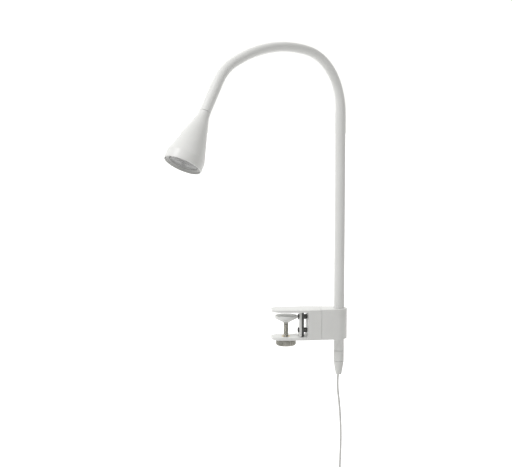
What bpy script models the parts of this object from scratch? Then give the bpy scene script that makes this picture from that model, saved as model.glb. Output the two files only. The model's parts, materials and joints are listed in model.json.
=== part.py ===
"""Clamp-on reading lamp: screw clamp, post holder, flexible neck, spot head, thin cord and plug-in driver.

Metres, +Z up. The origin is on the underside of the upper jaw, on the clamp screw's axis. +X points from
the screw to the post, and the jaws open towards -X.
"""

import math

import bmesh
import bpy
import numpy as np
from mathutils import Matrix, Vector

# Clearances
FACE_GAP = 0.0003  # between two faces that touch
RUNNING_GAP = 0.0004  # round a shaft, stud or screw in its hole
OVERSHOOT = 0.0020  # how far a cutter reaches past what it cuts
EDGE = 0.0006  # small chamfers

# Clamp frame
JAW_THICKNESS = 0.0031
THROAT_HEIGHT = 0.0338
JAW_REACH = 0.0197  # from the screw's axis to the jaw tips
JAW_TIP_HALF_DEPTH = 0.0163
JAW_CORNER_RADIUS = 0.0115
JAW_TAPER_END = 0.022
THROAT_END = 0.028  # where the solid block starts
BLOCK_HALF_DEPTH = 0.0185
FRAME_END = 0.0455  # seam between the clamp frame and the post holder

# Post holder, which the post stands in
POST_X = 0.0709
HOLDER_END_RADIUS = 0.0150
HOLDER_END_CENTRE = 0.0666

# Stop plate and its two long screws
STOP_FACE = 0.0175
STOP_RELIEF = 0.0003
STOP_THICKNESS = 0.0026
STOP_WIDTH = 0.0190
STOP_BACKING_THICKNESS = 0.0030
STOP_BACKING_WIDTH = 0.0150
STOP_SCREW_SPACING = 0.0180
STOP_SCREW_RADIUS = 0.0020
STOP_SCREW_ENTRY = 0.0110  # how far each screw goes into the post holder
STOP_HEAD_RADIUS = 0.0035
STOP_HEAD_TOP_RADIUS = 0.0028
STOP_HEAD_HEIGHT = 0.0016
SPACER_RADIUS = 0.0033

# Clamp screw, its pad and its knob
ROD_RADIUS = 0.0035
ROD_TIP_RADIUS = 0.0029  # the turned-down tip that sits in the pad
INSERT_RADIUS = 0.0056
PAD_RADIUS = 0.0151
PAD_RIM_HEIGHT = 0.0036
PAD_HEIGHT = 0.0090
PAD_HUB_RADIUS = 0.0052
PAD_START = 0.0057  # open gap above the pad at rest
PAD_POCKET_DEPTH = 0.0060
PAD_EDGE = 0.0008
KNOB_RADIUS = 0.0136
KNOB_HEIGHT = 0.0085
KNOB_GAP = 0.0005  # between the lower jaw and the knob
KNOB_FLOOR = 0.0020  # left under the rod
KNOB_NOTCHES = 24
KNOB_NOTCH_DEPTH = 0.0006

# Flexible neck: (length, turn in degrees) of each stretch, from the block's top to the head
TUBE_RADIUS = 0.0070
BEND_RADIUS = 0.0060  # the sleeve's radius where it is stretched round the bend
NECK_END_RADIUS = 0.0064
NARROWS = (-0.015, 0.030)  # where the sleeve narrows, measured from the bend's start
FILLS_OUT = (-0.075, -0.015)  # where it fills out again, measured from the neck's end
NECK_SHAPE = ((0.2610, 0.0), (0.1050, 78.5), (0.1360, 38.5), (0.0340, 32.5), (0.0400, 0.0))
LINKS_PER_STRETCH = (4, 4, 3, 2, 1)
NECK_BASE_LENGTH = 0.0300  # the stretch that never bends
NECK_SEAT_DEPTH = 0.0050  # how far the neck goes into the block
ARM_TURN = 40.0  # the bend's vertical plane, turned from -X towards -Y
LINK_SLOPE = 11.0  # cone on each link's ends, which leaves room to bend
LINK_GAP = 0.0006
LINK_FLAT_RADIUS = 0.0015
STUD_RADIUS = 0.0048
STUD_REACH = 0.0190  # how far each stud goes into the neck
STUD_DROP = 0.0195  # how far the lower one goes down from the block's top

# Tube, power socket and plug-in connector below the block
TUBE_BORE_RADIUS = 0.0053
TUBE_DROP = 0.0170
CONNECTOR_LENGTH = 0.0140
CONNECTOR_PIN_RADIUS = 0.0026
CONNECTOR_PIN_LENGTH = 0.0100
SOCKET_LENGTH = 0.0140
RELIEF_LENGTH = 0.0180
RELIEF_SHOULDER_RADIUS = 0.0064
RELIEF_SHOULDER_DROP = 0.0040
RELIEF_TIP_RADIUS = 0.0040
SET_SCREW_RADIUS = 0.0022
SET_SCREW_LENGTH = 0.0060
SET_SCREW_DROP = 0.0190  # below the block's top

# Head, measured along its axis from the neck's end to the mouth
HEAD_LENGTH = 0.0710
HEAD_RADIUS = 0.0234
HEAD_BAND = 0.0109
COLLAR_RADIUS = 0.0067
CONE_START = 0.0105
CONE_START_RADIUS = 0.0082
SHADE_WALL = 0.0015
CAVITY_START = 0.0180
LENS_RECESS = 0.0030
LENS_THICKNESS = 0.0024
LENS_RADIUS = 0.0172
LENS_EDGE = 0.0003
RING_RECESS = 0.0012
BOARD_RADIUS = 0.0140
BOARD_THICKNESS = 0.0016
BOARD_SCREW_OFFSET = 0.0100
BOARD_SCREW_RADIUS = 0.0011
BOARD_SCREW_HEAD_RADIUS = 0.0021
BOARD_SCREW_TOP_RADIUS = 0.0017
BOARD_SCREW_HEAD_HEIGHT = 0.0013
BOARD_SCREW_DEPTH = 0.0055  # into the heat sink
CHIP_RADIUS = 0.0045
CHIP_THICKNESS = 0.0010
OPTIC_HEIGHT = 0.0050
OPTIC_RADIUS = 0.0150
OPTIC_BACK_RADIUS = 0.0055
SINK_LENGTH = 0.0220
SINK_CLEARANCE = 0.0005
SINK_GROOVES = 3
SINK_GROOVE_START = 0.0030
SINK_GROOVE_PITCH = 0.0056
SINK_GROOVE_WIDTH = 0.00175
SINK_GROOVE_DEPTH = 0.0035
NUT_RADIUS = 0.0072
NUT_HEIGHT = 0.0040
STUD_PROUD = 0.0010  # of the nut

# Cord, switch and driver
CORD_RADIUS = 0.0015
SWITCH_TOP = (0.0734, 0.0, -0.2193)
SWITCH_SIZE = (0.0200, 0.0160, 0.0500)
SWITCH_ROUNDING = 0.0030
BUTTON_SIZE = (0.0090, 0.0140)
BUTTON_PROUD = 0.0018
BUTTON_DEPTH = 0.0036
BUTTON_TRAVEL = 0.0012
BUTTON_ROUNDING = 0.0012
COIL_CENTRE = (0.0614, 0.0, -0.3050)
COIL_INNER_TURN = 0.0120
COIL_LAYERS = 4
COIL_ROWS = 4
COIL_EDGE = 0.0010
TIE_WIDTH = 0.0050
TIE_THICKNESS = 0.0012
DRIVER_TOP = (0.0824, 0.0, -0.3480)
DRIVER_SIZE = (0.0360, 0.0280, 0.0520)
DRIVER_ROUNDING = 0.0040
DRIVER_RELIEF_LENGTH = 0.0120
DRIVER_RELIEF_BASE_RADIUS = 0.0042
DRIVER_RELIEF_TIP_RADIUS = 0.0026
PIN_RADIUS = 0.0020
PIN_LENGTH = 0.0190
PIN_SPACING = 0.0190
PIN_CHAMFER = 0.0008
STUD_CHAMFER = 0.0005

# Points that each free stretch of cord passes through
LAMP_CORD_ROUTE = (
    (0.0702, 0.0, -0.0869), (0.0697, 0.0, -0.0970), (0.0700, 0.0, -0.1075), (0.0712, 0.0, -0.1180),
    (0.0725, 0.0, -0.1305), (0.0737, 0.0, -0.1470), (0.0744, 0.0, -0.1650), (0.0744, 0.0, -0.1840),
    (0.0739, 0.0, -0.2010), (0.0734, 0.0, -0.2190),
)
UPPER_SUPPLY_ROUTE = (
    (0.0734, 0.0000, -0.2696), (0.0734, -0.0009, -0.2735), (0.0734, -0.0036, -0.2780),
    (0.0734, -0.0065, -0.2822), (0.0734, -0.0078, -0.2860), (0.0734, -0.0079, -0.2915),
    (0.0734, -0.0079, -0.3020),
)
LOWER_SUPPLY_ROUTE = (
    (0.0824, -0.0041, -0.3175), (0.0824, -0.0033, -0.3225), (0.0824, -0.0016, -0.3275),
    (0.0824, -0.0003, -0.3320), (0.0824, 0.0000, -0.3353),
)

# Derived places
BLOCK_TOP = JAW_THICKNESS
BLOCK_BOTTOM = -THROAT_HEIGHT - JAW_THICKNESS
BLOCK_MIDDLE = (BLOCK_TOP + BLOCK_BOTTOM) / 2
TUBE_BOTTOM = BLOCK_BOTTOM - TUBE_DROP
STUD_TOP = BLOCK_TOP + STUD_REACH

COLOURS = {
    "white_metal": ((0.86, 0.86, 0.85), 0.42, 0.0),
    "white_plastic": ((0.83, 0.83, 0.81), 0.48, 0.0),
    "white_sleeve": ((0.84, 0.84, 0.83), 0.55, 0.0),
    "nickel": ((0.62, 0.60, 0.56), 0.28, 1.0),
    "dark_steel": ((0.08, 0.08, 0.08), 0.40, 1.0),
    "dark_plastic": ((0.06, 0.06, 0.06), 0.55, 0.0),
    "grey_plastic": ((0.42, 0.42, 0.41), 0.45, 0.0),
    "brass": ((0.78, 0.62, 0.30), 0.30, 1.0),
    "aluminium": ((0.70, 0.71, 0.72), 0.35, 1.0),
    "board": ((0.90, 0.90, 0.88), 0.50, 0.0),
    "led": ((0.95, 0.80, 0.30), 0.40, 0.0),
    "clear_plastic": ((0.80, 0.82, 0.83), 0.10, 0.0),
    "cord": ((0.82, 0.82, 0.80), 0.50, 0.0),
    "tie": ((0.30, 0.30, 0.30), 0.60, 0.0),
}


def material(name):
    found = bpy.data.materials.get(name)
    if found:
        return found
    colour, roughness, metallic = COLOURS[name]
    made = bpy.data.materials.new(name)
    made.use_nodes = True
    shader = made.node_tree.nodes["Principled BSDF"]
    shader.inputs["Base Color"].default_value = (*colour, 1.0)
    shader.inputs["Roughness"].default_value = roughness
    shader.inputs["Metallic"].default_value = metallic
    return made


def placed(position, z_axis=(0, 0, 1), x_axis=(1, 0, 0)):
    """A matrix with its origin at position, its Z along z_axis and its X as near x_axis as it can be."""
    z = Vector(z_axis).normalized()
    y = z.cross(Vector(x_axis)).normalized()
    turn = Matrix((y.cross(z), y, z)).transposed()
    return Matrix.Translation(Vector(position)) @ turn.to_4x4()


def add_object(name, bm, slot, matrix, parent=None):
    bmesh.ops.recalc_face_normals(bm, faces=bm.faces[:])
    mesh = bpy.data.meshes.new(name)
    bm.to_mesh(mesh)
    bm.free()
    mesh.shade_smooth()
    mesh.set_sharp_from_angle(angle=math.radians(30))
    made = bpy.data.objects.new(name, mesh)
    bpy.context.collection.objects.link(made)
    made.matrix_world = matrix
    if slot:
        mesh.materials.append(material(slot))
    if parent:
        made.parent = parent
        made.matrix_parent_inverse = parent.matrix_world.inverted()
    return made


def add_pivot(name, matrix, parent=None):
    """An empty on a joint's axis."""
    made = bpy.data.objects.new(name, None)
    made.empty_display_size = 0.01
    bpy.context.collection.objects.link(made)
    made.matrix_world = matrix
    if parent:
        made.parent = parent
        made.matrix_parent_inverse = parent.matrix_world.inverted()
    bpy.context.view_layer.update()
    return made


def turned(name, outline, slot, matrix, parent=None, sides=24):
    """A solid of revolution from (radius, height) points. An outline that starts off the axis is a ring."""
    bm = bmesh.new()
    corners = [bm.verts.new((radius, 0, height)) for radius, height in outline]
    edges = [bm.edges.new(pair) for pair in zip(corners, corners[1:])]
    if outline[0][0] > 0:
        edges.append(bm.edges.new((corners[-1], corners[0])))
    bmesh.ops.spin(bm, geom=corners + edges, cent=(0, 0, 0), axis=(0, 0, 1), angle=2 * math.pi,
                   steps=sides, use_merge=True)
    bmesh.ops.remove_doubles(bm, verts=bm.verts[:], dist=1e-6)
    return add_object(name, bm, slot, matrix, parent)


def rod_outline(radius, low, high, chamfer=0.0):
    """A plain round bar's outline, from its top centre to its bottom centre."""
    outline = [(0, high), (radius - chamfer, high), (radius, high - chamfer),
               (radius, low + chamfer), (radius - chamfer, low), (0, low)]
    return list(dict.fromkeys(outline))


def ring_outline(bore, radius, low, high):
    return [(bore, high), (radius, high), (radius, low), (bore, low)]


def slab(name, outline, low, high, slot, matrix=Matrix(), parent=None, bevel=0.0):
    """A flat outline in the XY plane, extruded from low to high."""
    bm = bmesh.new()
    base = bm.faces.new([bm.verts.new((x, y, low)) for x, y in outline])
    top = bmesh.ops.extrude_face_region(bm, geom=[base])["geom"]
    lifted = [v for v in top if isinstance(v, bmesh.types.BMVert)]
    bmesh.ops.translate(bm, vec=(0, 0, high - low), verts=lifted)
    made = add_object(name, bm, slot, matrix, parent)
    if bevel:
        rounding = made.modifiers.new("rounded edges", "BEVEL")
        rounding.width = bevel
        rounding.segments = 2
        rounding.limit_method = "ANGLE"
        rounding.angle_limit = math.radians(50)
    return made


def cut(target, cutter):
    """Takes the cutter's volume out of the target."""
    cutter.hide_render = True
    cutter.display_type = "WIRE"
    step = target.modifiers.new(f"cut by {cutter.name}", "BOOLEAN")
    step.operation = "DIFFERENCE"
    step.object = cutter


def drill(target, start, end, radius, sides=16):
    """A round hole between two points."""
    run = Vector(end) - Vector(start)
    side = (0, 0, 1) if abs(run.x) + abs(run.y) > abs(run.z) else (1, 0, 0)
    name = f"drill_{target.name}_{len(target.modifiers)}"
    cut(target, turned(name, rod_outline(radius, 0, run.length), None, placed(start, run, side), sides=sides))


def rectangle(x_low, x_high, y_low, y_high):
    return [(x_low, y_low), (x_high, y_low), (x_high, y_high), (x_low, y_high)]


def box(name, low, high, slot, parent=None, bevel=0.0):
    """A box between two world points."""
    middle = [(a + b) / 2 for a, b in zip(low, high)]
    half = [(b - a) / 2 for a, b in zip(low, high)]
    return slab(name, rectangle(-half[0], half[0], -half[1], half[1]), -half[2], half[2], slot,
                placed(middle), parent, bevel)


def arc(centre, radius, start, end, steps):
    """Points on a circle from one angle to another, in degrees."""
    angles = np.radians(np.linspace(start, end, steps + 1))
    return [(centre[0] + radius * math.cos(a), centre[1] + radius * math.sin(a)) for a in angles]


def block_half_depth(x):
    """Half the block's depth, which narrows from the throat to the rounded end."""
    return float(np.interp(x, (THROAT_END, HOLDER_END_CENTRE), (BLOCK_HALF_DEPTH, HOLDER_END_RADIUS)))


def frame_outline():
    """The clamp frame from above: block, tapering jaws and their rounded corners."""
    corner_x = -JAW_REACH + JAW_CORNER_RADIUS
    corner_y = JAW_TIP_HALF_DEPTH - JAW_CORNER_RADIUS
    seam = block_half_depth(FRAME_END)
    return [
        (FRAME_END, -seam), (FRAME_END, seam),
        (THROAT_END, BLOCK_HALF_DEPTH), (JAW_TAPER_END, BLOCK_HALF_DEPTH),
        *arc((corner_x, corner_y), JAW_CORNER_RADIUS, 90, 180, 6),
        *arc((corner_x, -corner_y), JAW_CORNER_RADIUS, 180, 270, 6),
        (JAW_TAPER_END, -BLOCK_HALF_DEPTH), (THROAT_END, -BLOCK_HALF_DEPTH),
    ]


def holder_outline():
    start = FRAME_END + FACE_GAP
    half = block_half_depth(start)
    return [(start, half), (start, -half), *arc((HOLDER_END_CENTRE, 0), HOLDER_END_RADIUS, -90, 90, 14)]


def stop_screw_heights():
    return (BLOCK_MIDDLE + STOP_SCREW_SPACING / 2, BLOCK_MIDDLE - STOP_SCREW_SPACING / 2)


def build_clamp_frame():
    frame = slab("clamp_frame", frame_outline(), BLOCK_BOTTOM, BLOCK_TOP, "white_metal")
    throat = box("cutter_throat", (-2 * JAW_REACH, -2 * BLOCK_HALF_DEPTH, -THROAT_HEIGHT),
                 (THROAT_END, 2 * BLOCK_HALF_DEPTH, 0), None)
    cut(frame, throat)
    # A board rests on the jaw only as far as the stop plate, and a shallow relief lies behind that
    relief = box("cutter_relief", (STOP_FACE - STOP_RELIEF, -2 * BLOCK_HALF_DEPTH, -THROAT_HEIGHT - STOP_RELIEF),
                 (THROAT_END, 2 * BLOCK_HALF_DEPTH, STOP_RELIEF), None)
    cut(frame, relief)
    drill(frame, (0, 0, -THROAT_HEIGHT + OVERSHOOT), (0, 0, BLOCK_BOTTOM - OVERSHOOT),
          INSERT_RADIUS + RUNNING_GAP, 24)
    for height in stop_screw_heights():
        drill(frame, (THROAT_END - OVERSHOOT, 0, height), (FRAME_END + OVERSHOOT, 0, height),
              STOP_SCREW_RADIUS + RUNNING_GAP)
    turned("thread_insert",
           ring_outline(ROD_RADIUS + RUNNING_GAP, INSERT_RADIUS, BLOCK_BOTTOM, -THROAT_HEIGHT),
           "brass", placed((0, 0, 0)))


def build_stop_plate():
    along = placed((0, 0, 0), (1, 0, 0), (0, 0, 1))
    half_height = THROAT_HEIGHT / 2 - FACE_GAP
    plate_back = STOP_FACE + STOP_THICKNESS
    backing_start = plate_back + FACE_GAP
    backing_end = backing_start + STOP_BACKING_THICKNESS
    plate = box("stop_plate", (STOP_FACE, -STOP_WIDTH / 2, BLOCK_MIDDLE - half_height),
                (plate_back, STOP_WIDTH / 2, BLOCK_MIDDLE + half_height), "white_metal")
    backing = box("stop_backing", (backing_start, -STOP_BACKING_WIDTH / 2, BLOCK_MIDDLE - half_height),
                  (backing_end, STOP_BACKING_WIDTH / 2, BLOCK_MIDDLE + half_height), "dark_plastic")
    head_end = STOP_FACE - FACE_GAP
    for side, height in zip(("upper", "lower"), stop_screw_heights()):
        for piece, start, end in ((plate, STOP_FACE, plate_back), (backing, backing_start, backing_end)):
            drill(piece, (start - OVERSHOOT, 0, height), (end + OVERSHOOT, 0, height),
                  STOP_SCREW_RADIUS + RUNNING_GAP)
        on_axis = placed((0, 0, height)) @ along
        tip = FRAME_END + STOP_SCREW_ENTRY
        turned(f"stop_screw_{side}",
               [(0, tip), (STOP_SCREW_RADIUS, tip), (STOP_SCREW_RADIUS, head_end),
                (STOP_HEAD_RADIUS, head_end), (STOP_HEAD_TOP_RADIUS, head_end - STOP_HEAD_HEIGHT),
                (0, head_end - STOP_HEAD_HEIGHT)],
               "dark_steel", on_axis, sides=20)
        turned(f"stop_spacer_{side}",
               ring_outline(STOP_SCREW_RADIUS + RUNNING_GAP, SPACER_RADIUS, backing_end + FACE_GAP,
                            THROAT_END - FACE_GAP),
               "dark_steel", on_axis, sides=20)


def build_post_holder():
    holder = slab("post_holder", holder_outline(), BLOCK_BOTTOM, BLOCK_TOP, "white_metal")
    drill(holder, (POST_X, 0, BLOCK_BOTTOM - OVERSHOOT), (POST_X, 0, BLOCK_TOP + OVERSHOOT),
          TUBE_RADIUS + FACE_GAP, 32)
    screw_tip = FRAME_END + STOP_SCREW_ENTRY
    for height in stop_screw_heights():
        drill(holder, (FRAME_END - OVERSHOOT, 0, height), (screw_tip + FACE_GAP, 0, height),
              STOP_SCREW_RADIUS + RUNNING_GAP)
    set_height = BLOCK_TOP - SET_SCREW_DROP
    drill(holder, (POST_X, TUBE_RADIUS - OVERSHOOT, set_height),
          (POST_X, HOLDER_END_RADIUS + OVERSHOOT, set_height), SET_SCREW_RADIUS + RUNNING_GAP)
    seat = TUBE_RADIUS + FACE_GAP
    turned("post_set_screw", rod_outline(SET_SCREW_RADIUS, seat, seat + SET_SCREW_LENGTH, STUD_CHAMFER),
           "dark_steel", placed((POST_X, 0, set_height), (0, 1, 0), (0, 0, 1)), sides=16)


def build_lower_tube():
    axis = placed((POST_X, 0, 0))
    turned("lower_tube",
           ring_outline(TUBE_BORE_RADIUS, TUBE_RADIUS, TUBE_BOTTOM, BLOCK_TOP - NECK_SEAT_DEPTH - FACE_GAP),
           "white_metal", axis, sides=32)
    turned("neck_stud", rod_outline(STUD_RADIUS, BLOCK_TOP - STUD_DROP, STUD_TOP, STUD_CHAMFER), "nickel",
           axis, sides=20)
    pin_reach = CONNECTOR_PIN_LENGTH + FACE_GAP
    turned("power_socket",
           [(0, TUBE_BOTTOM + SOCKET_LENGTH), (TUBE_BORE_RADIUS - FACE_GAP, TUBE_BOTTOM + SOCKET_LENGTH),
            (TUBE_BORE_RADIUS - FACE_GAP, TUBE_BOTTOM), (CONNECTOR_PIN_RADIUS + FACE_GAP, TUBE_BOTTOM),
            (CONNECTOR_PIN_RADIUS + FACE_GAP, TUBE_BOTTOM + pin_reach), (0, TUBE_BOTTOM + pin_reach)],
           "dark_plastic", axis, sides=20)
    face = TUBE_BOTTOM - FACE_GAP
    turned("connector_barrel",
           [(0, TUBE_BOTTOM + CONNECTOR_PIN_LENGTH - FACE_GAP),
            (CONNECTOR_PIN_RADIUS, TUBE_BOTTOM + CONNECTOR_PIN_LENGTH - FACE_GAP),
            (CONNECTOR_PIN_RADIUS, face), (TUBE_RADIUS, face), (TUBE_RADIUS, face - CONNECTOR_LENGTH),
            (0, face - CONNECTOR_LENGTH)],
           "white_plastic", axis, sides=32)
    top = face - CONNECTOR_LENGTH - FACE_GAP
    turned("strain_relief",
           [(0, top), (TUBE_RADIUS, top), (RELIEF_SHOULDER_RADIUS, top - RELIEF_SHOULDER_DROP),
            (RELIEF_TIP_RADIUS, top - RELIEF_LENGTH), (0, top - RELIEF_LENGTH)],
           "white_plastic", axis, sides=32)


def build_clamp_screw():
    """The pad slides, and the rod and knob turn in it."""
    pad_top = -PAD_START
    pad_low = pad_top - PAD_HEIGHT
    pocket_top = pad_low + PAD_POCKET_DEPTH
    slide = add_pivot("clamp_screw_travel", placed((0, 0, pad_top)))
    rim = pad_top - PAD_RIM_HEIGHT
    pocket_radius = ROD_TIP_RADIUS + RUNNING_GAP
    pad_outline = [
        (0, pad_top), (PAD_RADIUS - PAD_EDGE, pad_top), (PAD_RADIUS, pad_top - PAD_EDGE), (PAD_RADIUS, rim),
        (PAD_HUB_RADIUS, pad_low), (pocket_radius, pad_low), (pocket_radius, pocket_top), (0, pocket_top),
    ]
    turned("pressure_pad", pad_outline, "white_metal", placed((0, 0, 0)), slide, sides=32)
    spin = add_pivot("clamp_screw_turn", placed((0, 0, pad_low)), slide)
    knob_top = BLOCK_BOTTOM - KNOB_GAP
    knob_low = knob_top - KNOB_HEIGHT
    rod_low = knob_low + KNOB_FLOOR
    shoulder = pad_low - RUNNING_GAP
    turned("clamp_rod",
           [(0, pocket_top - FACE_GAP), (ROD_TIP_RADIUS, pocket_top - FACE_GAP), (ROD_TIP_RADIUS, shoulder),
            (ROD_RADIUS, shoulder), (ROD_RADIUS, rod_low), (0, rod_low)],
           "nickel", placed((0, 0, 0)), spin)
    knob = slab("clamp_knob", knob_outline(), knob_low, knob_top, "nickel", placed((0, 0, 0)), spin)
    drill(knob, (0, 0, knob_top + OVERSHOOT), (0, 0, rod_low - FACE_GAP), ROD_RADIUS + FACE_GAP, 24)


def knob_outline():
    """A round knob with shallow notches round its edge."""
    points = []
    for k in range(2 * KNOB_NOTCHES):
        angle = math.pi * k / KNOB_NOTCHES
        radius = KNOB_RADIUS if k % 2 else KNOB_RADIUS - KNOB_NOTCH_DEPTH
        points.append((radius * math.cos(angle), radius * math.sin(angle)))
    return points


ARM = Vector((-math.cos(math.radians(ARM_TURN)), -math.sin(math.radians(ARM_TURN)), 0))
BEND_AXIS = Vector((math.sin(math.radians(ARM_TURN)), -math.cos(math.radians(ARM_TURN)), 0))
NECK_LENGTH = sum(length for length, turn in NECK_SHAPE)


def neck_frame(station):
    """The neck's centreline, its direction and its inward side, at a distance from the block's top."""
    out, up, lean, left = 0.0, BLOCK_TOP, 0.0, station
    for length, turn in NECK_SHAPE:
        step = min(left, length)
        bend = math.radians(turn) * step / length
        if turn:
            radius = length / math.radians(turn)
            out += radius * (math.cos(lean) - math.cos(lean + bend))
            up += radius * (math.sin(lean + bend) - math.sin(lean))
        else:
            out += step * math.sin(lean)
            up += step * math.cos(lean)
        lean += bend
        left -= step
    tangent = ARM * math.sin(lean) + Vector((0, 0, math.cos(lean)))
    side = ARM * math.cos(lean) - Vector((0, 0, math.sin(lean)))
    return Vector((POST_X, 0, up)) + ARM * out, tangent, side


def smooth_step(value, low, high):
    share = min(max((value - low) / (high - low), 0.0), 1.0)
    return share * share * (3 - 2 * share)


def neck_radius(station):
    """The sleeve's radius: full on the post, stretched thin round the bend and fuller again at the head."""
    bend_start = NECK_SHAPE[0][0]
    thin = smooth_step(station, bend_start + NARROWS[0], bend_start + NARROWS[1])
    full = smooth_step(station, NECK_LENGTH + FILLS_OUT[0], NECK_LENGTH + FILLS_OUT[1])
    return TUBE_RADIUS + (BEND_RADIUS - TUBE_RADIUS) * thin + (NECK_END_RADIUS - BEND_RADIUS) * full


def link_stations():
    """Where each link starts, and where the last one ends."""
    stations, start = [NECK_BASE_LENGTH], 0.0
    for (length, turn), count in zip(NECK_SHAPE, LINKS_PER_STRETCH):
        first = stations[-1]
        stations += [first + (start + length - first) * k / count for k in range(1, count + 1)]
        start += length
    return stations


def tube_along_neck(name, sections, slot, matrix, parent, sides=16):
    """A closed tube with a ring of the given radius at each (station, radius)."""
    bm = bmesh.new()
    to_local = matrix.inverted()
    rings = []
    for station, radius in sections:
        centre, tangent, side = neck_frame(station)
        across = tangent.cross(side)
        angles = [2 * math.pi * k / sides for k in range(sides)]
        rings.append([bm.verts.new(to_local @ (centre + radius * (math.cos(a) * side + math.sin(a) * across)))
                      for a in angles])
    for low, high in zip(rings, rings[1:]):
        for k in range(sides):
            bm.faces.new((low[k], low[(k + 1) % sides], high[(k + 1) % sides], high[k]))
    bm.faces.new(rings[0])
    bm.faces.new(rings[-1])
    return add_object(name, bm, slot, matrix, parent)


def link_sections(start, end, cone_at_start=True, cone_at_end=True, steps=3):
    """Rings of one link, whose free ends are shallow cones."""
    slope = math.tan(math.radians(LINK_SLOPE))
    low = start + (LINK_GAP / 2 if cone_at_start else 0)
    high = end - (LINK_GAP / 2 if cone_at_end else 0)
    body_low = low + (slope * (neck_radius(start) - LINK_FLAT_RADIUS) if cone_at_start else 0)
    body_high = high - (slope * (neck_radius(end) - LINK_FLAT_RADIUS) if cone_at_end else 0)
    sections = [(s, neck_radius(s)) for s in np.linspace(body_low, body_high, steps + 1).tolist()]
    if cone_at_start:
        sections.insert(0, (low, LINK_FLAT_RADIUS))
    if cone_at_end:
        sections.append((high, LINK_FLAT_RADIUS))
    return sections


def build_neck():
    """The fixed base of the sleeve, then a chain of links that bend on each other."""
    stations = link_stations()
    base = tube_along_neck("neck_base", link_sections(-NECK_SEAT_DEPTH, stations[0], cone_at_start=False),
                           "white_sleeve", Matrix(), None)
    drill(base, (POST_X, 0, BLOCK_TOP - NECK_SEAT_DEPTH - OVERSHOOT), (POST_X, 0, STUD_TOP + FACE_GAP),
          STUD_RADIUS + FACE_GAP, 20)
    parent = None
    for number, (start, end) in enumerate(zip(stations, stations[1:]), start=1):
        centre, tangent, side = neck_frame(start)
        pivot = add_pivot(f"neck_joint_{number:02d}", placed(centre, tangent, side), parent)
        last = end == stations[-1]
        link = tube_along_neck(f"neck_link_{number:02d}", link_sections(start, end, cone_at_end=not last),
                               "white_sleeve", placed(centre, tangent, side), pivot)
        parent = pivot
    drill(link, neck_frame(NECK_LENGTH - STUD_REACH - FACE_GAP)[0],
          neck_frame(NECK_LENGTH)[0] + OVERSHOOT * tangent, STUD_RADIUS + FACE_GAP, 20)
    return parent


def shade_radius(height):
    """Outer radius of the shade: a collar that flares into a straight cone, then a straight band."""
    cone_end = HEAD_LENGTH - HEAD_BAND
    slope = (HEAD_RADIUS - CONE_START_RADIUS) / (cone_end - CONE_START)
    if height >= cone_end:
        return HEAD_RADIUS
    if height >= CONE_START:
        return CONE_START_RADIUS + slope * (height - CONE_START)
    middle = CONE_START - (CONE_START_RADIUS - COLLAR_RADIUS) / slope
    share = (math.sqrt(middle ** 2 + (CONE_START - 2 * middle) * height) - middle) / (CONE_START - 2 * middle)
    return COLLAR_RADIUS + (CONE_START_RADIUS - COLLAR_RADIUS) * share ** 2


def cavity_radius(height):
    return shade_radius(height) - SHADE_WALL


def sink_radius(height):
    return cavity_radius(height) - SINK_CLEARANCE


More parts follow.
